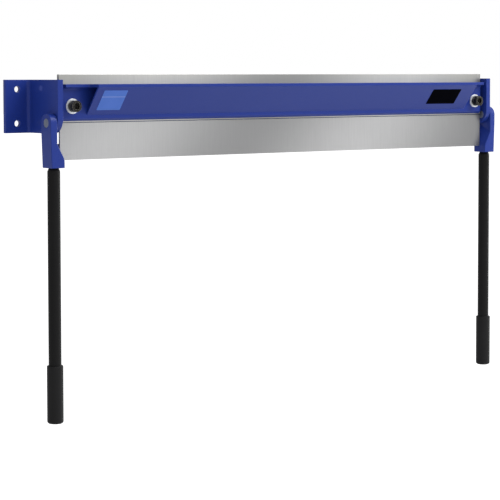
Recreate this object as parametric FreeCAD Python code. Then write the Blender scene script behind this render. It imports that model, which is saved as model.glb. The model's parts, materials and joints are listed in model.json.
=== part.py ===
import FreeCAD, Part
import math
import os

# Sheet metal folding machine, 915 mm, bolted to a wall or a bench edge.
# Everything is built about the hinge axis: X along the bed, Y into the machine from the bed's
# face, Z up from the hinge axis. The export then moves the origin to the bench bolt pattern.
V = FreeCAD.Vector
X_AXIS = V(1, 0, 0)
Y_AXIS = V(0, 1, 0)
Z_AXIS = V(0, 0, 1)
ZERO = V(0, 0, 0)

# Fits and clearances
RUNNING = 0.05
HINGE_SIDE_GAP = 0.7
EDGE_GAP = 0.5
END_GAP = 2.5
CUT_OVERRUN = 5.0

# Bed plate
BED_THICKNESS = 6.0
BED_TOP = 75.2
BED_END_GAP = 1.5

# Folding leaf
LEAF_LENGTH = 915.0
LEAF_HEIGHT = 58.0
LEAF_THICKNESS = 4.0

# Angle that stiffens the leaf from behind
LEAF_ANGLE_LEG = 25.0
LEAF_ANGLE_STEEL = 4.0
LEAF_ANGLE_RADIUS = 4.0
LEAF_ANGLE_RECESS = 0.5

# Angle that carries the bed plate
BED_ANGLE_DROP = 60.0
BED_ANGLE_REACH = 60.0
BED_ANGLE_STEEL = 6.0
BED_ANGLE_TOP = 56.5
BED_ANGLE_RADIUS = 6.0

# Side brackets: a thick side plate that turns outwards into a thinner flange
BRACKET_PLATE = 10.0
BRACKET_PROUD = 14.8
BRACKET_DEPTH = 78.0
BRACKET_TOP = 67.0
BRACKET_DROP = 17.0
BRACKET_CORNER = 25.0
FLANGE_STEEL = 7.0
FLANGE_REACH = 43.0
BEND_INSIDE = 6.0
BENCH_HOLE_D = 10.0
BENCH_HOLE_PITCH = 54.0
PLUG_WELD_D = 10.0
PLUG_WELD_TOP_D = 7.0
PLUG_WELD_HEIGHT = 0.8

# Clamp beam: an angle with cut-back shelf ends, closed by a sloping plate
CLAMP_SETBACK = 2.5
CLAMP_TOP = 60.0
CLAMP_STEEL = 5.0
CLAMP_SHELF = 40.0
CLAMP_LIP = 14.0
CLAMP_END_GAP = 3.0
CLAMP_CUTBACK = 43.5
CLAMP_RADIUS = 5.0
CUTBACK_RADIUS = 4.0
NOSE_LAND = 0.5
NOSE_RISE = 3.5
COVER_STEEL = 3.0
COVER_FOOT = 9.0

# Clamp bolts, washers, springs and threaded bosses
BOLT_INSET = 19.5
BOLT_Z = 25.7
BOLT_D = 12.0
BOLT_LENGTH = 45.0
BOLT_HEAD_D = 18.0
BOLT_HEAD_HEIGHT = 12.0
BOLT_SOCKET = 10.0
BOLT_SOCKET_DEPTH = 6.0
BOLT_HOLE_D = 13.5
WASHER_D = 24.0
WASHER_HOLE_D = 13.0
WASHER_THICKNESS = 2.5
SPRING_D = 18.0
SPRING_WIRE = 2.0
SPRING_TURNS = 2.5
SPRING_STEPS = 50
SPRING_HOLE_D = 20.0
BOSS_D = 28.0
BOSS_LENGTH = 18.0

# Handle blocks
BLOCK_DEPTH = 29.0
BLOCK_DROP = 70.0
BLOCK_TAPER = 2.0
ARM_THICKNESS = 12.0
RELIEF_START = 31.5
RELIEF_SLOPE = 31.6
RELIEF_TILT = 28.5
RELIEF_TOP_RADIUS = 4.0
RELIEF_FOOT_RADIUS = 14.0
HINGE_PIN_D = 14.0

# Handles
HANDLE_D = 20.2
HANDLE_LENGTH = 400.0
HANDLE_NECK_D = 15.4
HANDLE_NECK_TAPER = 5.0
SPIGOT_D = 14.0
SPIGOT_LENGTH = 28.0
GRIP_D = 25.8
GRIP_LENGTH = 91.0
GRIP_END = 4.0
GRIP_END_CHAMFER = 2.4

# Places that follow from the sizes
LEAF_END = LEAF_LENGTH / 2
PLATE_INNER = LEAF_END + END_GAP
PLATE_OUTER = PLATE_INNER + BRACKET_PLATE
BED_END = PLATE_INNER - BED_END_GAP
ARM_INNER = PLATE_OUTER + HINGE_SIDE_GAP
ARM_OUTER = ARM_INNER + ARM_THICKNESS
BLOCK_WIDTH = ARM_OUTER - LEAF_END
HANDLE_X = (ARM_OUTER - BLOCK_TAPER + LEAF_END) / 2
FLANGE_FRONT = BRACKET_DEPTH - FLANGE_STEEL
FLANGE_END = PLATE_OUTER + FLANGE_REACH
BENCH_HOLE_X = PLATE_OUTER + FLANGE_REACH / 2
BRACKET_MID_Z = (BRACKET_TOP - BRACKET_DROP) / 2
LEAF_BOTTOM = -EDGE_GAP - LEAF_HEIGHT
LEAF_ANGLE_BOTTOM = LEAF_BOTTOM + LEAF_ANGLE_RECESS
BED_ANGLE_BACK = BED_THICKNESS + BED_ANGLE_STEEL
CLAMP_END = LEAF_END - CLAMP_END_GAP
COVER_END = CLAMP_END - CLAMP_CUTBACK
SHELF_UNDERSIDE = CLAMP_TOP - CLAMP_STEEL
BOLT_X = LEAF_END - BOLT_INSET
HEAD_SEAT = -CLAMP_STEEL - WASHER_THICKNESS
ORIGIN = V(0, BRACKET_DEPTH, BRACKET_MID_Z)
SIDES = (("left", -1), ("right", 1))


def box(x0, x1, y0, y1, z0, z1):
    return Part.makeBox(x1 - x0, y1 - y0, z1 - z0, V(x0, y0, z0))


def rod(diameter, start, axis, length):
    return Part.makeCylinder(diameter / 2, length, start, axis)


def prism(edges, along):
    """A solid swept straight along a vector from a closed outline."""
    return Part.Face(Part.Wire(Part.__sortEdges__(edges))).extrude(along)


def lines(points, closed=False):
    ends = points[1:] + points[:1] if closed else points[1:]
    return [Part.LineSegment(a, b).toShape() for a, b in zip(points, ends)]


def arc(start, middle, end):
    return Part.Arc(start, middle, end).toShape()


def corner_arc(centre, radius, first, last, plane):
    """An arc in the YZ or XY plane, from one angle to the other in degrees."""
    points = []
    for degrees in (first, (first + last) / 2, last):
        a = radius * math.cos(math.radians(degrees))
        b = radius * math.sin(math.radians(degrees))
        points.append(centre + (V(0, a, b) if plane == "YZ" else V(a, b, 0)))
    return arc(*points)


def turned(profile, base, axis):
    """A solid of revolution from (radius, distance along the axis) points."""
    outline = [V(r, 0, h) for r, h in profile]
    face = Part.Face(Part.Wire(lines(outline, closed=True)))
    solid = face.revolve(ZERO, Z_AXIS, 360)
    solid.Placement = FreeCAD.Placement(base, FreeCAD.Rotation(Z_AXIS, axis))
    return solid


def to_side(left_shape, sign):
    """A shape modelled on the left, or its mirror image on the right."""
    return left_shape if sign < 0 else left_shape.mirror(ZERO, X_AXIS)


def angle_section(y0, z_toe, z_heel, reach, steel, radius, x0, x1):
    """A rolled angle: one leg on the plane y0, the other running to y0 + reach at the heel."""
    up = 1 if z_heel > z_toe else -1
    inner_y = y0 + steel
    inner_z = z_heel - up * steel
    centre = V(x0, inner_y + radius, inner_z - up * radius)
    corner = corner_arc(centre, radius, 180, 180 - 90 * up, "YZ")
    path = lines([
        V(x0, inner_y + radius, inner_z),
        V(x0, y0 + reach, inner_z),
        V(x0, y0 + reach, z_heel),
        V(x0, y0, z_heel),
        V(x0, y0, z_toe),
        V(x0, inner_y, z_toe),
        V(x0, inner_y, inner_z - up * radius),
    ])
    return prism(path + [corner], V(x1 - x0, 0, 0))


def bed_plate():
    plate = box(-BED_END, BED_END, 0, BED_THICKNESS, EDGE_GAP, BED_TOP)
    for x in (-BOLT_X, BOLT_X):
        plate = plate.cut(rod(SPRING_HOLE_D, V(x, 0, BOLT_Z), Y_AXIS, BED_THICKNESS))
    return plate


def bed_angle():
    angle = angle_section(
        BED_THICKNESS, BED_ANGLE_TOP - BED_ANGLE_DROP, BED_ANGLE_TOP, BED_ANGLE_REACH,
        BED_ANGLE_STEEL, BED_ANGLE_RADIUS, -PLATE_INNER, PLATE_INNER,
    )
    for x in (-BOLT_X, BOLT_X):
        start = V(x, BED_THICKNESS, BOLT_Z)
        angle = angle.cut(rod(SPRING_HOLE_D, start, Y_AXIS, BED_ANGLE_STEEL))
    return angle


def hex_prism(across_flats, start, axis, length):
    radius = across_flats / 2 / math.cos(math.radians(30))
    points = [
        V(radius * math.cos(math.radians(60 * i)), radius * math.sin(math.radians(60 * i)), 0)
        for i in range(6)
    ]
    solid = prism(lines(points, closed=True), V(0, 0, length))
    solid.Placement = FreeCAD.Placement(start, FreeCAD.Rotation(Z_AXIS, axis))
    return solid


def side_bracket():
    """The left bracket: a plate bent outwards into a flange, on a plan swept up."""
    x_in = -PLATE_INNER
    x_out = -PLATE_OUTER
    bend_outside = BEND_INSIDE + FLANGE_STEEL
    z0 = -BRACKET_DROP
    inside_centre = V(x_out - BEND_INSIDE, FLANGE_FRONT - BEND_INSIDE, z0)
    outside_centre = V(x_in - bend_outside, BRACKET_DEPTH - bend_outside, z0)
    outline = lines([
        V(x_out, FLANGE_FRONT - BEND_INSIDE, z0),
        V(x_out, -BRACKET_PROUD, z0),
        V(x_in, -BRACKET_PROUD, z0),
        V(x_in, FLANGE_FRONT - BEND_INSIDE, z0),
    ])
    outline.append(corner_arc(outside_centre, bend_outside, 0, 90, "XY"))
    outline += lines([
        V(outside_centre.x, BRACKET_DEPTH, z0),
        V(-FLANGE_END, BRACKET_DEPTH, z0),
        V(-FLANGE_END, FLANGE_FRONT, z0),
        V(inside_centre.x, FLANGE_FRONT, z0),
    ])
    outline.append(corner_arc(inside_centre, BEND_INSIDE, 90, 0, "XY"))
    plate = prism(outline, V(0, 0, BRACKET_TOP + BRACKET_DROP))
    plate = plate.cut(bracket_corner())
    plate = plate.cut(rod(HINGE_PIN_D, V(x_out, 0, 0), X_AXIS, BRACKET_PLATE))
    plate = plate.fuse(plug_weld()).removeSplitter()
    for dz in (-BENCH_HOLE_PITCH / 2, BENCH_HOLE_PITCH / 2):
        start = V(-BENCH_HOLE_X, FLANGE_FRONT, BRACKET_MID_Z + dz)
        plate = plate.cut(rod(BENCH_HOLE_D, start, Y_AXIS, BRACKET_PLATE))
    return plate


def bracket_corner():
    """What the rounded lower front corner leaves out of the side plate."""
    x0 = -PLATE_OUTER - CUT_OVERRUN
    y0 = -BRACKET_PROUD
    z0 = -BRACKET_DROP
    centre = V(x0, y0 + BRACKET_CORNER, z0 + BRACKET_CORNER)
    outline = lines([
        V(x0, y0, centre.z),
        V(x0, y0 - CUT_OVERRUN, centre.z),
        V(x0, y0 - CUT_OVERRUN, z0 - CUT_OVERRUN),
        V(x0, centre.y, z0 - CUT_OVERRUN),
        V(x0, centre.y, z0),
    ])
    outline.append(corner_arc(centre, BRACKET_CORNER, 180, 270, "YZ"))
    return prism(outline, V(BRACKET_PLATE + 2 * CUT_OVERRUN, 0, 0))


def plug_weld():
    """The raised face of the weld through the left side plate into the bed angle's end."""
    place = V(-PLATE_OUTER, BED_THICKNESS + BED_ANGLE_REACH / 2, BED_ANGLE_TOP - BED_ANGLE_STEEL / 2)
    return Part.makeCone(PLUG_WELD_D / 2, PLUG_WELD_TOP_D / 2, PLUG_WELD_HEIGHT, place, -X_AXIS)


def clamp_angle():
    """The clamp beam's angle: bevelled nose at the foot, shelf at the top, cut back at its ends."""
    x0 = -CLAMP_END
    inner = V(x0, -CLAMP_STEEL - CLAMP_RADIUS, SHELF_UNDERSIDE - CLAMP_RADIUS)
    outline = lines([
        V(x0, -CLAMP_STEEL, inner.z),
        V(x0, -CLAMP_STEEL, CLAMP_SETBACK + NOSE_RISE),
        V(x0, -NOSE_LAND, CLAMP_SETBACK),
        V(x0, 0, CLAMP_SETBACK),
        V(x0, 0, CLAMP_TOP),
        V(x0, -CLAMP_SHELF, CLAMP_TOP),
        V(x0, -CLAMP_SHELF, SHELF_UNDERSIDE),
        V(x0, inner.y, SHELF_UNDERSIDE),
    ])
    outline.append(corner_arc(inner, CLAMP_RADIUS, 90, 0, "YZ"))
    beam = prism(outline, V(2 * CLAMP_END, 0, 0))
    for sign in (-1, 1):
        beam = beam.cut(to_side(shelf_cutback(), sign))
    for x in (-BOLT_X, BOLT_X):
        beam = beam.cut(rod(BOLT_HOLE_D, V(x, -CLAMP_STEEL, BOLT_Z), Y_AXIS, CLAMP_STEEL))
    return beam


def shelf_cutback():
    """The left end's notch in the shelf, with a rounded inner corner."""
    z0 = SHELF_UNDERSIDE
    x0 = -CLAMP_END - CUT_OVERRUN
    x1 = -COVER_END
    y_lip = -CLAMP_LIP
    centre = V(x1 - CUTBACK_RADIUS, y_lip - CUTBACK_RADIUS, z0)
    outline = lines([
        V(centre.x, y_lip, z0),
        V(x0, y_lip, z0),
        V(x0, -CLAMP_SHELF - CUT_OVERRUN, z0),
        V(x1, -CLAMP_SHELF - CUT_OVERRUN, z0),
        V(x1, centre.y, z0),
    ])
    outline.append(corner_arc(centre, CUTBACK_RADIUS, 0, 90, "XY"))
    return prism(outline, V(0, 0, CLAMP_STEEL))


def clamp_cover_plate():
    """The sloping plate that boxes in the clamp's angle, trimmed to sit on both of its legs."""
    top = V(0, -CLAMP_SHELF, SHELF_UNDERSIDE)
    foot = V(0, -CLAMP_STEEL, CLAMP_SETBACK + COVER_FOOT)
    run = foot - top
    slope = math.atan2(run.y, -run.z)
    foot_inner = V(0, foot.y, foot.z + COVER_STEEL / math.sin(slope))
    top_inner = V(0, top.y + COVER_STEEL / math.cos(slope), top.z)
    corners = [p + V(-COVER_END, 0, 0) for p in (top, foot, foot_inner, top_inner)]
    return prism(lines(corners, closed=True), V(2 * COVER_END, 0, 0))


def clamp_washer(x):
    seat = V(x, -CLAMP_STEEL, BOLT_Z)
    disc = rod(WASHER_D, seat, -Y_AXIS, WASHER_THICKNESS)
    return disc.cut(rod(WASHER_HOLE_D, seat, -Y_AXIS, WASHER_THICKNESS))


def clamp_bolt(x):
    """A hexagon socket cap screw, its head towards the front."""
    half = BOLT_D / 2
    head = BOLT_HEAD_D / 2
    body = turned([
        (0, 0),
        (half, 0),
        (half, BOLT_LENGTH),
        (head, BOLT_LENGTH),
        (head, BOLT_LENGTH + BOLT_HEAD_HEIGHT),
        (0, BOLT_LENGTH + BOLT_HEAD_HEIGHT),
    ], V(x, HEAD_SEAT + BOLT_LENGTH, BOLT_Z), -Y_AXIS)
    face = HEAD_SEAT - BOLT_HEAD_HEIGHT
    socket = hex_prism(BOLT_SOCKET, V(x, face, BOLT_Z), Y_AXIS, BOLT_SOCKET_DEPTH)
    return body.cut(socket)


def clamp_spring(x):
    """A square wire compression spring between the threaded boss and the clamp beam."""
    inner = SPRING_D / 2 - SPRING_WIRE
    outer = SPRING_D / 2
    rise = BED_ANGLE_BACK - SPRING_WIRE
    sections = []
    for step in range(SPRING_STEPS + 1):
        share = step / SPRING_STEPS
        angle = 2 * math.pi * SPRING_TURNS * share
        out = V(math.cos(angle), 0, math.sin(angle))
        near = V(x, rise * share, BOLT_Z)
        far = near + V(0, SPRING_WIRE, 0)
        corners = [near + out * inner, near + out * outer, far + out * outer, far + out * inner]
        sections.append(Part.Wire(lines(corners, closed=True)))
    return Part.makeLoft(sections, True, True)


def threaded_boss(x):
    seat = V(x, BED_ANGLE_BACK, BOLT_Z)
    return rod(BOSS_D, seat, Y_AXIS, BOSS_LENGTH).cut(rod(BOLT_D + 2 * RUNNING, seat, Y_AXIS, BOSS_LENGTH))


def leaf_plate():
    return box(-LEAF_END, LEAF_END, 0, LEAF_THICKNESS, LEAF_BOTTOM, -EDGE_GAP)


def leaf_angle():
    return angle_section(
        LEAF_THICKNESS, LEAF_ANGLE_BOTTOM + LEAF_ANGLE_LEG, LEAF_ANGLE_BOTTOM, LEAF_ANGLE_LEG,
        LEAF_ANGLE_STEEL, LEAF_ANGLE_RADIUS, -LEAF_END, LEAF_END,
    )


def block_blank():
    """The block before its relief: round about the hinge axis, then down, its outer face leaning in."""
    half = BLOCK_DEPTH / 2
    x0 = -ARM_OUTER
    outline = [corner_arc(V(x0, 0, 0), half, 0, 180, "YZ")]
    outline += lines([
        V(x0, -half, 0),
        V(x0, -half, -BLOCK_DROP),
        V(x0, half, -BLOCK_DROP),
        V(x0, half, 0),
    ])
    taper = lines([
        V(x0, -half, -half),
        V(x0, -half, -BLOCK_DROP),
        V(x0 + BLOCK_TAPER, -half, -BLOCK_DROP),
    ], closed=True)
    return prism(outline, V(BLOCK_WIDTH, 0, 0)).cut(prism(taper, V(0, BLOCK_DEPTH, 0)))


def block_relief():
    """The S-shaped pass of a form cutter that clears the side plate. It rises towards the back, so
    that the block also passes the plate's front edge at the end of the fold."""
    slope = math.radians(RELIEF_SLOPE)
    front = -BLOCK_DEPTH / 2
    top = V(-ARM_INNER, front, -RELIEF_START)

    def turn_in(radius, angle):
        return V(radius * (1 - math.cos(angle)), 0, -radius * math.sin(angle))

    head = top + turn_in(RELIEF_TOP_RADIUS, slope)
    foot_turn = turn_in(RELIEF_FOOT_RADIUS, slope)
    knee_x = -LEAF_END - foot_turn.x
    knee = V(knee_x, front, head.z - (knee_x - head.x) / math.tan(slope))
    foot = V(-LEAF_END, front, knee.z + foot_turn.z)
    half_turn = turn_in(RELIEF_FOOT_RADIUS, slope / 2)
    above = BLOCK_DEPTH
    outline = [
        arc(top, top + turn_in(RELIEF_TOP_RADIUS, slope / 2), head),
        arc(knee, foot - half_turn, foot),
    ]
    outline += lines([head, knee])
    outline += lines([
        foot,
        foot + V(CUT_OVERRUN, 0, 0),
        V(foot.x + CUT_OVERRUN, front, above),
        V(top.x, front, above),
        top,
    ])
    cutter = prism(outline, V(0, 2 * BLOCK_DEPTH, 0))
    cutter.translate(V(0, -BLOCK_DEPTH / 2, 0))
    cutter.rotate(top, X_AXIS, RELIEF_TILT)
    return cutter


def handle_block():
    block = block_blank().cut(block_relief())
    bore = rod(HINGE_PIN_D + 2 * RUNNING, V(-ARM_OUTER, 0, 0), X_AXIS, ARM_THICKNESS)
    socket = rod(SPIGOT_D + 2 * RUNNING, V(-HANDLE_X, 0, -BLOCK_DROP), Z_AXIS, SPIGOT_LENGTH + RUNNING)
    return block.cut(bore).cut(socket)


def hinge_pin():
    """Pressed into the side plate and flush with its inner face and with the arm's outer face."""
    return rod(HINGE_PIN_D, V(-ARM_OUTER, 0, 0), X_AXIS, ARM_OUTER - PLATE_INNER)


def handle_bar():
    """A round bar, turned down to a spigot that screws into the block."""
    half = HANDLE_D / 2
    end = HANDLE_LENGTH - GRIP_END
    spigot = SPIGOT_D / 2
    return turned([
        (0, -end),
        (half, -end),
        (half, -HANDLE_NECK_TAPER),
        (HANDLE_NECK_D / 2, 0),
        (spigot, 0),
        (spigot, SPIGOT_LENGTH),
        (0, SPIGOT_LENGTH),
    ], V(-HANDLE_X, 0, -BLOCK_DROP), Z_AXIS)


def hand_grip():
    """A moulded sleeve with a closed end."""
    outer = GRIP_D / 2
    inner = HANDLE_D / 2 + RUNNING
    return turned([
        (0, 0),
        (outer - GRIP_END_CHAMFER, 0),
        (outer, GRIP_END_CHAMFER),
        (outer, GRIP_LENGTH),
        (inner, GRIP_LENGTH),
        (inner, GRIP_END),
        (0, GRIP_END),
    ], V(-HANDLE_X, 0, -BLOCK_DROP - HANDLE_LENGTH), Z_AXIS)


def at_both_bolts(piece):
    return Part.Compound([piece(-BOLT_X), piece(BOLT_X)])


def all_nodes():
    nodes = {
        "bed_plate": bed_plate(),
        "bed_angle": bed_angle(),
        "clamp_angle": clamp_angle(),
        "clamp_cover_plate": clamp_cover_plate(),
        "leaf_plate": leaf_plate(),
        "leaf_angle": leaf_angle(),
        "clamp_washers": at_both_bolts(clamp_washer),
        "clamp_springs": at_both_bolts(clamp_spring),
    }
    for side, sign in SIDES:
        nodes[side + "_side_bracket"] = to_side(side_bracket(), sign)
        nodes[side + "_handle_block"] = to_side(handle_block(), sign)
        nodes[side + "_hinge_pin"] = to_side(hinge_pin(), sign)
        nodes[side + "_handle_bar"] = to_side(handle_bar(), sign)
        nodes[side + "_hand_grip"] = to_side(hand_grip(), sign)
        nodes[side + "_clamp_bolt"] = clamp_bolt(sign * BOLT_X)
        nodes[side + "_threaded_boss"] = threaded_boss(sign * BOLT_X)
    return nodes


def main():
    os.makedirs("parts", exist_ok=True)
    for name, shape in all_nodes().items():
        shape.translate(-ORIGIN)
        solids = shape.Solids
        print(f"{name}: {len(solids)} solids, {shape.Volume / 1000:.2f} cm3, valid {shape.isValid()}")
        shape.exportStep(f"parts/{name}.step")


main()
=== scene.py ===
import json
import math

import bmesh
import bpy
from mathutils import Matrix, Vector


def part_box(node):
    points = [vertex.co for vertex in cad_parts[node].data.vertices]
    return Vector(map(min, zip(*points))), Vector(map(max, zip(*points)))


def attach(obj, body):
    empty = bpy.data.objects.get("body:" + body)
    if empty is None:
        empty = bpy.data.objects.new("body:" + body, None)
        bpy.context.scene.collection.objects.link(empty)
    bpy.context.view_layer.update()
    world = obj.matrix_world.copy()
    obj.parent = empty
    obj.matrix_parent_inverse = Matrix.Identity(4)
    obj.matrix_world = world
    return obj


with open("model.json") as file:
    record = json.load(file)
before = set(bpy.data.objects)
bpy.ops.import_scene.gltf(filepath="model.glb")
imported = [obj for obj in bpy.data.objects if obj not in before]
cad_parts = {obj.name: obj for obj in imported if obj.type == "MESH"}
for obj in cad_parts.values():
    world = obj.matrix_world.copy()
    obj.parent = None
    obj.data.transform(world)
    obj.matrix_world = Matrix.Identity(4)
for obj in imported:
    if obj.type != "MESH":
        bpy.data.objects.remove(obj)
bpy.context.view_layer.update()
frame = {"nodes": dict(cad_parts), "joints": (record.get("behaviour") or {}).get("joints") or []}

# A sheet metal folding machine. All sizes are in metres, in the row frame: X along the bed to the
# right, Y towards the bench, Z up. Angles are in radians unless a name says degrees.
NODES = frame["nodes"]
X_AXIS, Y_AXIS, Z_AXIS = Vector((1, 0, 0)), Vector((0, 1, 0)), Vector((0, 0, 1))
WHITE = (1.0, 1.0, 1.0, 1.0)

# Places that the frame gives: the hinge and bolt axes, and the boxes of pieces that carry others
PIVOTS = {joint["name"]: joint.get("pos_m") for joint in frame["joints"]}
HINGE_Y, HINGE_Z = PIVOTS["leaf_fold"][1], PIVOTS["leaf_fold"][2]
BOLT_X, BOLT_Z = PIVOTS["right_bolt_turn"][0], PIVOTS["right_bolt_turn"][2]
COVER_LOW, COVER_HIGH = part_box("clamp_cover_plate")
BED_ANGLE_LOW, BED_ANGLE_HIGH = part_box("bed_angle")
LEAF_ANGLE_LOW, LEAF_ANGLE_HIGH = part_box("leaf_angle")
BLOCK_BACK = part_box("left_handle_block")[1].y

# The two angles' steel, and the rear faces of their upright legs
BED_ANGLE_STEEL, LEAF_ANGLE_STEEL = 0.006, 0.004
BED_ANGLE_BACK = BED_ANGLE_LOW.y + BED_ANGLE_STEEL
LEAF_ANGLE_BACK = LEAF_ANGLE_LOW.y + LEAF_ANGLE_STEEL

# A paler spot painted over the plug welds in the side plates, a painted highlight for the light on
# their low domes:
# its middle, its full and faded radius, and the X beyond which it shows, so that it stays on the
# plates' outer faces
PLUG_Y, PLUG_Z = -0.0432, 0.0285
PLUG_FULL_RADIUS, PLUG_FADED_RADIUS = 0.002, 0.0055
PLUG_MIN_X = 0.468

# The clamp bolts: the radius of a head's flat face, the head's seat, the knurl and the thread
HEAD_FACE_RADIUS = 0.0087
HEAD_SEAT_Y = HINGE_Y - 0.0075
KNURL_TEETH = 48
THREAD_PITCH = 0.00175

# The plain plates on the cover's slope: their ends along X, their edges down the slope, their
# thickness, corner radius and chamfer, and the height of the thin line across the left one
LEFT_PLATE_ENDS, LEFT_PLATE_EDGES = (-0.3975, -0.3535), (0.0063, 0.0460)
RIGHT_PLATE_ENDS, RIGHT_PLATE_EDGES = (0.3075, 0.3770), (0.0095, 0.0430)
PLATE_THICKNESS = 0.0004
PLATE_CORNER = 0.0012
PLATE_CHAMFER = 0.00015
LEFT_PLATE_LINE_Z = 0.0148

# The small screws behind the bed and the leaf: each row, and its heads' width over the flats
BED_SCREW_COUNT, BED_SCREW_PITCH, BED_SCREW_Z = 6, 0.152, 0.0
BED_SCREW_FLATS, BED_SCREW_HEIGHT = 0.010, 0.004
LEAF_SCREW_COUNT, LEAF_SCREW_PITCH, LEAF_SCREW_Z = 7, 0.135, -0.0665
LEAF_SCREW_FLATS, LEAF_SCREW_HEIGHT = 0.008, 0.0035

# Weld beads: their sections' radii, the radius of the bead round a boss, how deep their middle
# lines lie in the angles' ends, how far off the faces beside them, and the pitch of the ripples
FRAME_BEAD, LEAF_BEAD, BOSS_BEAD = 0.0021, 0.0016, 0.0017
BOSS_BEAD_RADIUS = 0.0142
FRAME_BEAD_SINK, LEAF_BEAD_SINK = 0.0008, 0.0006
BEAD_OFFSET = 0.0005
BEAD_PITCH = 0.0016

# Floor, lamps and camera, and the strength of the soft light from all round
FLOOR_Z, FLOOR_REACH = -1.0, 40.0
AIM = (0.0, -0.08, 0.0)
FRONT_AIM = (0.2, -0.08, 0.0)
SOFT_LIGHT = 0.62
CAMERA_PLACE = (-1.9268, -2.4670, 0.0489)
CAMERA_TILT_DEGREES, CAMERA_ROLL_DEGREES, CAMERA_TURN_DEGREES = 87.0, 0.071, -37.649
CAMERA_LENS_MM, CAMERA_SENSOR_MM = 129.12, 36.0
CAMERA_SHIFT_Y = -0.162


# Node helpers
def node(tree, kind, inputs=None, **props):
    """A shader or geometry node with its values and links set."""
    made = tree.nodes.new(kind)
    for key, value in props.items():
        setattr(made, key, value)
    for key, value in (inputs or {}).items():
        if isinstance(value, bpy.types.NodeSocket):
            tree.links.new(value, made.inputs[key])
        else:
            made.inputs[key].default_value = value
    return made


def maths(tree, operation, a, b=0.0, c=0.0):
    return node(tree, "ShaderNodeMath", {0: a, 1: b, 2: c}, operation=operation).outputs[0]


def times(tree, a, b):
    return maths(tree, "MULTIPLY", a, b)


def plus(tree, a, b):
    return maths(tree, "ADD", a, b)


def object_coords(tree):
    return node(tree, "ShaderNodeTexCoord").outputs["Object"]


def split(tree, vector):
    """The X, Y and Z of a vector, by name."""
    return node(tree, "ShaderNodeSeparateXYZ", {0: vector}).outputs


def noise(tree, cells, detail, roughness=0.5):
    """Noise with this many cells to the metre, alike every way or apart along X, Y and Z."""
    scale = cells if isinstance(cells, tuple) else (cells, cells, cells)
    place = node(tree, "ShaderNodeMapping", {"Vector": object_coords(tree), "Scale": scale})
    made = node(tree, "ShaderNodeTexNoise", {
        "Vector": place.outputs["Vector"], "Scale": 1.0, "Detail": detail, "Roughness": roughness})
    return made.outputs["Fac"]


def remap(tree, value, low, high, start=0.0, end=1.0):
    """The value carried from the range start to end over to the range low to high."""
    made = node(tree, "ShaderNodeMapRange", {
        "Value": value, "From Min": start, "From Max": end, "To Min": low, "To Max": high})
    return made.outputs["Result"]


def mix(tree, factor, a, b):
    made = node(tree, "ShaderNodeMix", {0: factor, 6: a, 7: b}, data_type="RGBA")
    return made.outputs[2]


def tint(tree, base, mask, share, colour):
    """The base, with this share of the colour where the mask is 1."""
    return mix(tree, times(tree, mask, share), base, colour)


def bump(tree, height, strength, depth, normal=None):
    inputs = {"Height": height, "Strength": strength, "Distance": depth}
    if normal is not None:
        inputs["Normal"] = normal
    return node(tree, "ShaderNodeBump", inputs).outputs["Normal"]


def edges(tree, radius):
    """1 on edges sharper than the radius and 0 on the flats between them."""
    sharp_cosine, flat_cosine = 0.93, 0.995
    rounded = node(tree, "ShaderNodeBevel", {"Radius": radius}, samples=6).outputs["Normal"]
    flat = node(tree, "ShaderNodeNewGeometry").outputs["Normal"]
    aligned = node(tree, "ShaderNodeVectorMath", {0: rounded, 1: flat}, operation="DOT_PRODUCT")
    return remap(tree, aligned.outputs["Value"], 1.0, 0.0, sharp_cosine, flat_cosine)


def from_line_along_x(tree, coords, y, z):
    """The distance from the line along X through the place (y, z)."""
    away = node(tree, "ShaderNodeVectorMath", {0: coords, 1: (0, -y, -z)}, operation="ADD")
    flat = node(tree, "ShaderNodeVectorMath", {0: away.outputs[0], 1: (0, 1, 1)}, operation="MULTIPLY")
    return node(tree, "ShaderNodeVectorMath", {0: flat.outputs[0]}, operation="LENGTH").outputs["Value"]


def material(name, **values):
    """A new material, its tree and its Principled shader with constant values set on it."""
    made = bpy.data.materials.new(name)
    made.use_nodes = True
    shader = made.node_tree.nodes["Principled BSDF"]
    for key, value in values.items():
        shader.inputs[key.replace("_", " ")].default_value = value
    return made, made.node_tree, shader


def wire(tree, shader, **sockets):
    """Links what varies over the surface to the shader's inputs, by their names."""
    for key, value in sockets.items():
        tree.links.new(value, shader.inputs[key.replace("_", " ")])


def rgb(r, g, b):
    return (r, g, b, 1.0)


# Materials
def plug_weld_highlight(tree):
    """Where the painted highlight goes: 1 on the two plug welds in the side plates' outer faces, fading
    to 0 round them.
    """
    coords = object_coords(tree)
    radius = from_line_along_x(tree, coords, PLUG_Y, PLUG_Z)
    spot = remap(tree, radius, 1.0, 0.0, PLUG_FULL_RADIUS, PLUG_FADED_RADIUS)
    sideways = maths(tree, "ABSOLUTE", split(tree, coords)["X"])
    return times(tree, spot, maths(tree, "GREATER_THAN", sideways, PLUG_MIN_X))


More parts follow.
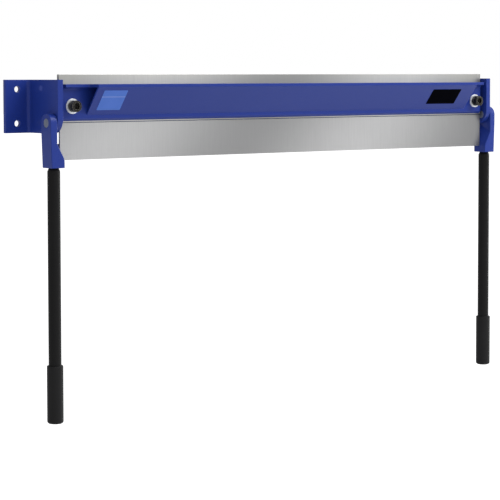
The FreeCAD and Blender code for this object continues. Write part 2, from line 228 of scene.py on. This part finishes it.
def enamel():
    """Gloss enamel sprayed on steel: orange peel, soft clouding, paler edges, and a paler spot over
    each plug weld as a painted highlight.
    """
    deep, light = rgb(0.0130, 0.037, 0.262), rgb(0.0180, 0.045, 0.300)
    speckle, rubbed = rgb(0.0085, 0.0235, 0.188), rgb(0.075, 0.105, 0.34)
    weld_highlight = rgb(0.060, 0.092, 0.40)
    made, tree, shader = material("blue_enamel", Specular_IOR_Level=0.27)
    cloud = noise(tree, 5, detail=3)
    fine = noise(tree, 160, detail=4)
    peel = noise(tree, 520, detail=1)
    wear = remap(tree, fine, 0.0, 0.5, start=0.42, end=0.68)
    base = mix(tree, cloud, deep, light)
    base = tint(tree, base, fine, 0.18, speckle)
    base = mix(tree, times(tree, edges(tree, radius=0.0009), wear), base, rubbed)
    # Painted highlight: the enamel is painted paler over the plug welds, where light would catch their
    # domes
    base = tint(tree, base, plug_weld_highlight(tree), 0.85, weld_highlight)
    rough = plus(tree, remap(tree, cloud, 0.26, 0.34), times(tree, fine, 0.06))
    wire(tree, shader, Base_Color=base, Roughness=rough,
         Normal=bump(tree, peel, strength=0.16, depth=0.0004))
    return made


def ground_steel():
    """Bare steel, ground across its width, with long soft bands of painted reflection along it, and its
    bed copy painted brighter than its leaf copy as painted light.
    """
    reflection_bands_along, reflection_bands_down, reflection_band_start = 11.7, -9.5, -1.014
    reflection_band_share, drift_share = 0.90, 0.10
    leaf_dark, leaf_light = rgb(0.304, 0.305, 0.307), rgb(0.612, 0.613, 0.615)
    # Painted light: the bed's copy of the steel is painted brighter and a little less blue than the
    # leaf's, for the light and reflections it gets
    lit_bed_dark, lit_bed_light = rgb(0.382, 0.382, 0.358), rgb(0.760, 0.758, 0.710)
    between_leaf_and_bed = 0.02
    scratch, stain = rgb(0.19, 0.19, 0.195), rgb(0.235, 0.235, 0.235)
    bright_edge = rgb(0.70, 0.70, 0.70)
    made, tree, shader = material("ground_steel", Metallic=0.75, Anisotropic=0.35)
    axes = split(tree, object_coords(tree))
    # Painted reflection: soft light and dark bands along X, tilted a little with height, stand in for
    # the studio's reflections in the plates
    phase = maths(tree, "MULTIPLY_ADD", axes["Z"], reflection_bands_down, reflection_band_start)
    reflection_band = maths(tree, "SINE", maths(tree, "MULTIPLY_ADD", axes["X"], reflection_bands_along, phase))
    reflection_band = maths(tree, "MULTIPLY_ADD", reflection_band, 0.5, 0.5)
    drift = noise(tree, (3.2, 1.0, 6.0), detail=1)
    tone = plus(tree, times(tree, reflection_band, reflection_band_share), times(tree, drift, drift_share))
    grain = noise(tree, (1500, 60, 22), detail=3, roughness=0.65)
    cloud = noise(tree, 26, detail=4)
    # Painted light: above the seam between leaf and bed the steel takes its brighter painted copy
    on_lit_bed = remap(tree, axes["Z"], 0.0, 1.0, -between_leaf_and_bed, between_leaf_and_bed)
    leaf_base = mix(tree, tone, leaf_dark, leaf_light)
    lit_bed_base = mix(tree, tone, lit_bed_dark, lit_bed_light)
    base = mix(tree, on_lit_bed, leaf_base, lit_bed_base)
    base = mix(tree, remap(tree, grain, -0.06, 0.30), base, scratch)
    base = tint(tree, base, cloud, 0.10, stain)
    base = tint(tree, base, edges(tree, radius=0.0006), 0.5, bright_edge)
    rough = plus(tree, remap(tree, grain, 0.30, 0.40), times(tree, cloud, 0.05))
    tangent = node(tree, "ShaderNodeTangent", direction_type="RADIAL", axis="X").outputs["Tangent"]
    wire(tree, shader, Base_Color=base, Roughness=rough, Tangent=tangent,
         Normal=bump(tree, grain, strength=0.20, depth=0.00012))
    return made


def turned_steel():
    """Bare bar with the rings of a lathe tool about the hinge axis, dulled by a film of paint."""
    dull, clear = rgb(0.17, 0.195, 0.30), rgb(0.34, 0.365, 0.43)
    rings_per_metre = 14000
    made, tree, shader = material("turned_steel", Metallic=0.85)
    radius = from_line_along_x(tree, object_coords(tree), HINGE_Y, HINGE_Z)
    rings = maths(tree, "SINE", times(tree, radius, rings_per_metre))
    cloud = noise(tree, 220, detail=3)
    wire(tree, shader, Base_Color=mix(tree, cloud, dull, clear),
         Roughness=remap(tree, cloud, 0.42, 0.58),
         Normal=bump(tree, rings, strength=0.25, depth=0.00005))
    return made


def black_coat():
    """Black powder coat on the handle bars, finely textured."""
    dark, light = rgb(0.0076, 0.0076, 0.0081), rgb(0.0140, 0.0136, 0.0141)
    rubbed = rgb(0.06, 0.06, 0.062)
    made, tree, shader = material("black_coat", Specular_IOR_Level=0.11)
    speck = noise(tree, 900, detail=2)
    cloud = noise(tree, (30, 30, 9), detail=3)
    base = mix(tree, cloud, dark, light)
    base = tint(tree, base, edges(tree, radius=0.0007), 0.35, rubbed)
    wire(tree, shader, Base_Color=base, Roughness=remap(tree, speck, 0.32, 0.47),
         Normal=bump(tree, speck, strength=0.30, depth=0.0002))
    return made


def grip_rubber():
    """Matt moulded rubber with fine flow lines round it."""
    dark, light = rgb(0.0084, 0.0084, 0.0090), rgb(0.0155, 0.0152, 0.0160)
    made, tree, shader = material("grip_rubber", Specular_IOR_Level=0.15)
    fine = noise(tree, 420, detail=3)
    rings = noise(tree, (1, 1, 260), detail=2)
    cloud = noise(tree, (45, 45, 18), detail=2)
    rough = plus(tree, remap(tree, cloud, 0.36, 0.46), times(tree, fine, 0.10))
    normal = bump(tree, rings, strength=0.12, depth=0.0002)
    wire(tree, shader, Base_Color=mix(tree, cloud, dark, light), Roughness=rough,
         Normal=bump(tree, fine, 0.25, 0.00015, normal))
    return made


def black_oxide():
    """Oiled black oxide on the clamp bolts, with the knurl round their heads and their thread."""
    dark, light = rgb(0.0030, 0.0028, 0.0025), rgb(0.0170, 0.0145, 0.0112)
    bright_edge = rgb(0.40, 0.38, 0.34)
    made, tree, shader = material("black_oxide", Metallic=0.1, Specular_IOR_Level=0.3)
    axes = split(tree, object_coords(tree))
    across = maths(tree, "SUBTRACT", maths(tree, "ABSOLUTE", axes["X"]), BOLT_X)
    upward = maths(tree, "SUBTRACT", axes["Z"], BOLT_Z)
    turn = maths(tree, "ARCTAN2", upward, across)
    squares = plus(tree, times(tree, across, across), times(tree, upward, upward))
    radius = maths(tree, "POWER", squares, 0.5)
    on_side = maths(tree, "GREATER_THAN", radius, HEAD_FACE_RADIUS)
    knurl = times(tree, maths(tree, "SINE", times(tree, turn, KNURL_TEETH)), on_side)
    under_head = maths(tree, "GREATER_THAN", axes["Y"], HEAD_SEAT_Y)
    helix = maths(tree, "MULTIPLY_ADD", axes["Y"], 2 * math.pi / THREAD_PITCH, turn)
    thread = times(tree, maths(tree, "SINE", helix), under_head)
    fine = noise(tree, 400, detail=3)
    base = mix(tree, fine, dark, light)
    base = tint(tree, base, edges(tree, radius=0.0008), 0.85, bright_edge)
    normal = bump(tree, knurl, strength=0.55, depth=0.0003)
    wire(tree, shader, Base_Color=base, Roughness=remap(tree, fine, 0.30, 0.45),
         Normal=bump(tree, thread, 0.9, 0.0005, normal))
    return made


def zinc():
    """Bright zinc plate on the washers, faintly mottled."""
    dark, light = rgb(0.90, 0.93, 0.98), rgb(0.95, 0.97, 1.0)
    made, tree, shader = material("bright_zinc", Metallic=0.45)
    fine = noise(tree, 300, detail=3)
    wire(tree, shader, Base_Color=mix(tree, fine, dark, light), Roughness=remap(tree, fine, 0.18, 0.32),
         Normal=bump(tree, fine, strength=0.15, depth=0.0001))
    return made


def spring_wire():
    """Dark oiled spring steel, a little uneven."""
    dark, light = rgb(0.07, 0.07, 0.075), rgb(0.17, 0.17, 0.18)
    made, tree, shader = material("spring_wire", Metallic=0.9)
    fine = noise(tree, 500, detail=3)
    wire(tree, shader, Base_Color=mix(tree, fine, dark, light), Roughness=remap(tree, fine, 0.30, 0.50),
         Normal=bump(tree, fine, strength=0.2, depth=0.0001))
    return made


def plate_print(name, field, shade, rough, gloss, line_z=None):
    """A plain printed plate: two close shades, a slight gloss and, where a height is given, one
    thin paler line across."""
    line_half_width, line_share, line_colour = 0.0005, 0.6, rgb(0.36, 0.47, 0.80)
    made, tree, shader = material(name, Specular_IOR_Level=gloss)
    cloud = noise(tree, 60, detail=3)
    fine = noise(tree, 900, detail=1)
    base = mix(tree, cloud, field, shade)
    if line_z is not None:
        height = split(tree, object_coords(tree))["Z"]
        line = maths(tree, "COMPARE", height, line_z, line_half_width)
        base = tint(tree, base, line, line_share, line_colour)
    wire(tree, shader, Base_Color=base, Roughness=remap(tree, fine, rough, rough + 0.1),
         Normal=bump(tree, fine, strength=0.08, depth=0.0001))
    return made


def blue_print():
    return plate_print("pale_blue_print", rgb(0.078, 0.178, 0.62), rgb(0.10, 0.215, 0.70),
                       rough=0.32, gloss=0.12, line_z=LEFT_PLATE_LINE_Z)


def black_print():
    return plate_print("black_print", rgb(0.0022, 0.0022, 0.0038), rgb(0.0034, 0.0034, 0.0052),
                       rough=0.30, gloss=0.0)


# The CAD's own pieces
def joined_corners():
    """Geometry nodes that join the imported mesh's split corners and shade it by angle."""
    same_place, crease = 2e-6, math.radians(30)
    tree = bpy.data.node_groups.new("joined_corners", "GeometryNodeTree")
    for way in ("INPUT", "OUTPUT"):
        tree.interface.new_socket("Geometry", in_out=way, socket_type="NodeSocketGeometry")
    start = tree.nodes.new("NodeGroupInput").outputs[0]
    merged = node(tree, "GeometryNodeMergeByDistance", {"Geometry": start, "Distance": same_place})
    plain = node(tree, "GeometryNodeSetMeshNormal", {0: merged.outputs[0]}, mode="SHARPNESS")
    plain.inputs["Remove Custom"].default_value = True
    angle = node(tree, "GeometryNodeInputMeshEdgeAngle").outputs[0]
    soft = node(tree, "FunctionNodeCompare", {0: angle, 1: crease}, operation="LESS_THAN")
    faces = node(tree, "GeometryNodeSetShadeSmooth", {0: plain.outputs[0]}, domain="FACE")
    creased = node(tree, "GeometryNodeSetShadeSmooth",
                   {0: faces.outputs[0], "Shade Smooth": soft.outputs[0]}, domain="EDGE")
    tree.links.new(creased.outputs[0], tree.nodes.new("NodeGroupOutput").inputs[0])
    return tree


def dress(name, finish, width, corners):
    """Gives a CAD node its finish and, unless the width is 0, a small rounding on its edges."""
    piece = NODES[name]
    piece.data.materials.clear()
    piece.data.materials.append(finish)
    join = piece.modifiers.new("join", "NODES")
    join.node_group = corners
    if not width:
        return
    flats = piece.modifiers.new("flats", "DECIMATE")
    flats.decimate_type = "DISSOLVE"
    flats.angle_limit = math.radians(0.5)
    rounding = piece.modifiers.new("rounding", "BEVEL")
    rounding.width = width
    rounding.segments = 2
    rounding.limit_method = "ANGLE"
    rounding.angle_limit = math.radians(35)
    rounding.use_clamp_overlap = False
    level = piece.modifiers.new("level", "WEIGHTED_NORMAL")
    level.weight = 100
    level.keep_sharp = True


# Added pieces
def piece_from(name, build, finish, body, smooth=False):
    """A new piece from a bmesh that the function fills, placed in the row frame."""
    bm = bmesh.new()
    build(bm)
    bmesh.ops.recalc_face_normals(bm, faces=bm.faces[:])
    mesh = bpy.data.meshes.new(name)
    bm.to_mesh(mesh)
    bm.free()
    mesh.materials.append(finish)
    for face in mesh.polygons:
        face.use_smooth = smooth
    piece = bpy.data.objects.new(name, mesh)
    bpy.context.scene.collection.objects.link(piece)
    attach(piece, body)
    return piece


def ring(bm, centre, across, up, radius, count):
    """A closed ring of vertices about a centre, in the plane of the two directions."""
    turns = [2 * math.pi * i / count for i in range(count)]
    return [
        bm.verts.new(centre + across * (radius * math.cos(turn)) + up * (radius * math.sin(turn)))
        for turn in turns
    ]


def bridge(bm, rings, closed=False):
    """Faces from each ring to the next and, where closed, from the last ring to the first."""
    pairs = list(zip(rings, rings[1:]))
    if closed:
        pairs.append((rings[-1], rings[0]))
    for a, b in pairs:
        for i in range(len(a)):
            j = (i + 1) % len(a)
            bm.faces.new((a[i], a[j], b[j], b[i]))


def capped(bm, rings):
    """A closed form over the rings, with a face on each end."""
    bridge(bm, rings)
    bm.faces.new(rings[0])
    bm.faces.new(rings[-1])


def hex_head(bm, place, out, flats, height):
    """A screw's hexagon head with a chamfered crown, its seat on the place given."""
    chamfer_start, crown_share, sides = 0.82, 0.86, 6
    across = out.orthogonal().normalized()
    up = out.cross(across)
    corner = flats / 2 / math.cos(math.radians(30))
    levels = ((0.0, corner), (height * chamfer_start, corner), (height, corner * crown_share))
    capped(bm, [ring(bm, place + out * rise, across, up, radius, sides) for rise, radius in levels])


def screw_row(name, count, pitch, y, z, flats, height, finish, body):
    """A row of screws, centred on the bed's middle, with their heads towards the bench."""
    def build(bm):
        for i in range(count):
            x = pitch * (i - (count - 1) / 2)
            hex_head(bm, Vector((x, y, z)), Y_AXIS, flats, height)
    piece = piece_from(name, build, finish, body)
    rounding = piece.modifiers.new("rounding", "BEVEL")
    rounding.width = 0.0003
    rounding.segments = 2


def bead(bm, start, end, side, rise, radius):
    """A weld bead between two places: a round that swells with every ripple and tapers at its ends."""
    steps_per_ripple, least_steps, sides = 4, 8, 10
    ripple_depth, end_share, taper_rate = 0.12, 0.35, 9
    length = (end - start).length
    steps = max(least_steps, round(length / BEAD_PITCH * steps_per_ripple))
    rings = []
    for i in range(steps + 1):
        share = i / steps
        swell = abs(math.sin(math.pi * share * length / BEAD_PITCH))
        ripple = 1 - ripple_depth + ripple_depth * swell
        taper = min(1.0, end_share + taper_rate * min(share, 1 - share))
        rings.append(ring(bm, start.lerp(end, share), side, rise, radius * ripple * taper, sides))
    capped(bm, rings)


def ring_bead(bm, centre, axis, radius, section):
    """A weld bead all the way round a boss, at this radius from its axis."""
    ripples, steps_per_ripple, sides, ripple_depth = 64, 4, 8, 0.14
    steps = ripples * steps_per_ripple
    across = axis.orthogonal().normalized()
    up = axis.cross(across)
    rings = []
    for i in range(steps):
        turn = 2 * math.pi * i / steps
        out = across * math.cos(turn) + up * math.sin(turn)
        swell = abs(math.sin(math.pi * i / steps_per_ripple))
        thick = section * (1 - ripple_depth + ripple_depth * swell)
        rings.append(ring(bm, centre + out * radius, out, axis, thick, sides))
    bridge(bm, rings, closed=True)


def rounded_outline(ends, sides, corner):
    """A rectangle's outline with round corners, as points, from its ends and sides."""
    (left, right), (near, far) = ends, sides
    corner_steps = 4
    centres = (
        (right - corner, far - corner, 0),
        (left + corner, far - corner, 90),
        (left + corner, near + corner, 180),
        (right - corner, near + corner, 270),
    )
    outline = []
    for across, down, first_degrees in centres:
        for step in range(corner_steps + 1):
            turn = math.radians(first_degrees + 90 / corner_steps * step)
            outline.append((across + corner * math.cos(turn), down + corner * math.sin(turn)))
    return outline


def slope_plate(name, ends, sides, finish):
    """A thin plate on the cover plate's sloping face, between two distances down the slope."""
    top = Vector((0, COVER_LOW.y, COVER_HIGH.z))
    foot = Vector((0, COVER_HIGH.y, COVER_LOW.z))
    down = (foot - top).normalized()
    out = Vector((0, down.z, -down.y))
    middle_x, middle_s = sum(ends) / 2, sum(sides) / 2
    outline = rounded_outline(ends, sides, PLATE_CORNER)
    chamfer_start = 0.7 * PLATE_THICKNESS
    levels = ((0.0, 0.0), (chamfer_start, 0.0), (PLATE_THICKNESS, PLATE_CHAMFER))

    def build(bm):
        rims = []
        for lift, inset in levels:
            rim = []
            for x, s in outline:
                x -= math.copysign(inset, x - middle_x)
                s -= math.copysign(inset, s - middle_s)
                rim.append(bm.verts.new(top + X_AXIS * x + down * s + out * lift))
            rims.append(rim)
        capped(bm, rims)
    piece_from(name, build, finish, "clamp")


def frame_welds(bm):
    """Beads where the bed angle meets the side plates, and round the two bosses."""
    toe_gap, heel_gap, corner_gap, tip_gap = 0.0025, 0.0095, 0.008, 0.003
    y = BED_ANGLE_BACK + BEAD_OFFSET
    upright_low, upright_high = BED_ANGLE_LOW.z + toe_gap, BED_ANGLE_HIGH.z - heel_gap
    leg_y, leg_end = y + corner_gap, BED_ANGLE_HIGH.y - tip_gap
    leg_z = BED_ANGLE_HIGH.z - BED_ANGLE_STEEL - BEAD_OFFSET
    for sign in (-1, 1):
        x = sign * (BED_ANGLE_HIGH.x - FRAME_BEAD_SINK)
        bead(bm, Vector((x, y, upright_low)), Vector((x, y, upright_high)), X_AXIS, Y_AXIS, FRAME_BEAD)
        bead(bm, Vector((x, leg_y, leg_z)), Vector((x, leg_end, leg_z)), X_AXIS, Z_AXIS, FRAME_BEAD)
        boss = Vector((sign * BOLT_X, BED_ANGLE_BACK, BOLT_Z))
        ring_bead(bm, boss, Y_AXIS, BOSS_BEAD_RADIUS, BOSS_BEAD)


def leaf_welds(bm):
    """Beads where the leaf angle meets the handle blocks."""
    toe_gap, heel_gap, corner_gap, leg_gap = 0.001, 0.0095, 0.004, 0.0004
    y = LEAF_ANGLE_BACK + BEAD_OFFSET
    upright_low, upright_high = LEAF_ANGLE_LOW.z + heel_gap, LEAF_ANGLE_HIGH.z - toe_gap
    leg_y, leg_end = y + corner_gap, BLOCK_BACK - BEAD_OFFSET
    leg_z = LEAF_ANGLE_LOW.z + LEAF_ANGLE_STEEL + leg_gap
    for sign in (-1, 1):
        x = sign * (LEAF_ANGLE_HIGH.x - LEAF_BEAD_SINK)
        bead(bm, Vector((x, y, upright_low)), Vector((x, y, upright_high)), X_AXIS, Y_AXIS, LEAF_BEAD)
        bead(bm, Vector((x, leg_y, leg_z)), Vector((x, leg_end, leg_z)), X_AXIS, Z_AXIS, LEAF_BEAD)


# Floor, light and camera
def backdrop_floor():
    """A wide pale floor under the handles. It glows for the camera and faintly in reflections."""
    camera_glow, mirrored_glow = 0.70, 0.18
    dark, light = rgb(0.78, 0.78, 0.78), rgb(0.81, 0.81, 0.81)
    reach, z = FLOOR_REACH, FLOOR_Z
    mesh = bpy.data.meshes.new("floor")
    mesh.from_pydata([(-reach, -reach, z), (reach, -reach, z), (reach, reach, z), (-reach, reach, z)],
                     [], [(0, 1, 2, 3)])
    floor = bpy.data.objects.new("floor", mesh)
    bpy.context.scene.collection.objects.link(floor)
    made, tree, shader = material("pale_floor", Roughness=0.9, Specular_IOR_Level=0.1,
                                  Emission_Color=WHITE)
    path = node(tree, "ShaderNodeLightPath").outputs
    glow = times(tree, path["Is Camera Ray"], camera_glow)
    glow = maths(tree, "MULTIPLY_ADD", path["Is Glossy Ray"], mirrored_glow, glow)
    wire(tree, shader, Base_Color=mix(tree, noise(tree, 0.8, detail=2), dark, light),
         Emission_Strength=glow)
    mesh.materials.append(made)


def studio_world(level):
    """White where the camera sees it, dimmer for reflections towards the rear left, and a plain
    soft light elsewhere."""
    front_right = (0.8, -0.6, 0)
    dimmest, brightest = 0.25, 1.0
    dimming_starts, dimming_ends = 0.9, -1.0
    world = bpy.data.worlds.new("studio")
    bpy.context.scene.world = world
    world.use_nodes = True
    tree = world.node_tree
    tree.nodes.clear()
    path = node(tree, "ShaderNodeLightPath").outputs
    seen = maths(tree, "MAXIMUM", path["Is Camera Ray"], path["Is Glossy Ray"])
    seen = maths(tree, "MAXIMUM", seen, path["Is Transmission Ray"])
    soft = node(tree, "ShaderNodeBackground", {"Color": WHITE, "Strength": level})
    towards = node(tree, "ShaderNodeTexCoord").outputs["Generated"]
    facing = node(tree, "ShaderNodeVectorMath", {0: towards, 1: front_right}, operation="DOT_PRODUCT")
    shade = remap(tree, facing.outputs["Value"], dimmest, brightest, dimming_ends, dimming_starts)
    unmirrored = maths(tree, "SUBTRACT", 1.0, path["Is Glossy Ray"])
    bright = maths(tree, "MAXIMUM", shade, unmirrored)
    white = node(tree, "ShaderNodeBackground", {"Color": WHITE, "Strength": bright})
    both = node(tree, "ShaderNodeMixShader", {0: seen, 1: soft.outputs[0], 2: white.outputs[0]})
    node(tree, "ShaderNodeOutputWorld", {"Surface": both.outputs[0]})


def softbox(name, place, target, width, height, watts, mirrored=True):
    """A rectangular lamp that faces its target, and shows in reflections where mirrored."""
    lamp = bpy.data.lights.new(name, "AREA")
    lamp.shape = "RECTANGLE"
    lamp.size = width
    lamp.size_y = height
    lamp.energy = watts
    lit = bpy.data.objects.new(name, lamp)
    lit.location = place
    lit.rotation_euler = (Vector(target) - Vector(place)).to_track_quat("-Z", "Y").to_euler()
    lit.visible_glossy = mirrored
    bpy.context.scene.collection.objects.link(lit)


def camera():
    """Where the photograph was taken from: level with the bed, turned 37.6 degrees to the right."""
    eye = bpy.data.cameras.new("camera")
    eye.sensor_width = CAMERA_SENSOR_MM
    eye.lens = CAMERA_LENS_MM
    eye.shift_y = CAMERA_SHIFT_Y
    eye.clip_start = 0.05
    eye.clip_end = 100.0
    seat = bpy.data.objects.new("camera", eye)
    seat.location = CAMERA_PLACE
    seat.rotation_euler = (math.radians(CAMERA_TILT_DEGREES), math.radians(CAMERA_ROLL_DEGREES),
                           math.radians(CAMERA_TURN_DEGREES))
    bpy.context.scene.collection.objects.link(seat)
    bpy.context.scene.camera = seat


# Assembly: each finish goes on its nodes, with the width of the rounding on their edges
blue = enamel()
steel = ground_steel()
oxide = black_oxide()
coat = black_coat()
rubber = grip_rubber()
corners = joined_corners()
pin = turned_steel()

FINISHES = [
    (("bed_plate", "leaf_plate"), steel, 0.00025),
    (("clamp_angle", "clamp_cover_plate", "bed_angle", "leaf_angle"), blue, 0.0005),
    (("clamp_washers",), zinc(), 0.0003),
    (("clamp_springs",), spring_wire(), 0),
]
for side in ("left_", "right_"):
    FINISHES += [
        ((side + "side_bracket", side + "threaded_boss"), blue, 0.0006),
        ((side + "handle_block",), blue, 0.0009),
        ((side + "hinge_pin",), pin, 0.0005),
        ((side + "handle_bar",), coat, 0.0006),
        ((side + "hand_grip",), rubber, 0.0009),
        ((side + "clamp_bolt",), oxide, 0.0005),
    ]
for names, finish, width in FINISHES:
    for name in names:
        dress(name, finish, width, corners)

slope_plate("left_plain_plate", LEFT_PLATE_ENDS, LEFT_PLATE_EDGES, blue_print())
slope_plate("right_plain_plate", RIGHT_PLATE_ENDS, RIGHT_PLATE_EDGES, black_print())
screw_row("bed_angle_screws", BED_SCREW_COUNT, BED_SCREW_PITCH, BED_ANGLE_BACK, BED_SCREW_Z,
          BED_SCREW_FLATS, BED_SCREW_HEIGHT, oxide, "frame")
screw_row("leaf_angle_screws", LEAF_SCREW_COUNT, LEAF_SCREW_PITCH, LEAF_ANGLE_BACK, LEAF_SCREW_Z,
          LEAF_SCREW_FLATS, LEAF_SCREW_HEIGHT, oxide, "leaf")
piece_from("frame_weld_beads", frame_welds, blue, "frame", smooth=True)
piece_from("leaf_weld_beads", leaf_welds, blue, "leaf", smooth=True)

backdrop_floor()
studio_world(SOFT_LIGHT)
softbox("key", place=(1.5, -2.2, 2.6), target=AIM, width=2.4, height=1.8, watts=60)
softbox("side", place=(3.0, -0.5, 0.3), target=AIM, width=0.6, height=1.6, watts=22)
softbox("front", place=(1.9, -1.6, 1.1), target=FRONT_AIM, width=1.0, height=1.0, watts=14,
        mirrored=False)
camera()
bpy.context.scene.view_settings.view_transform = "Standard"
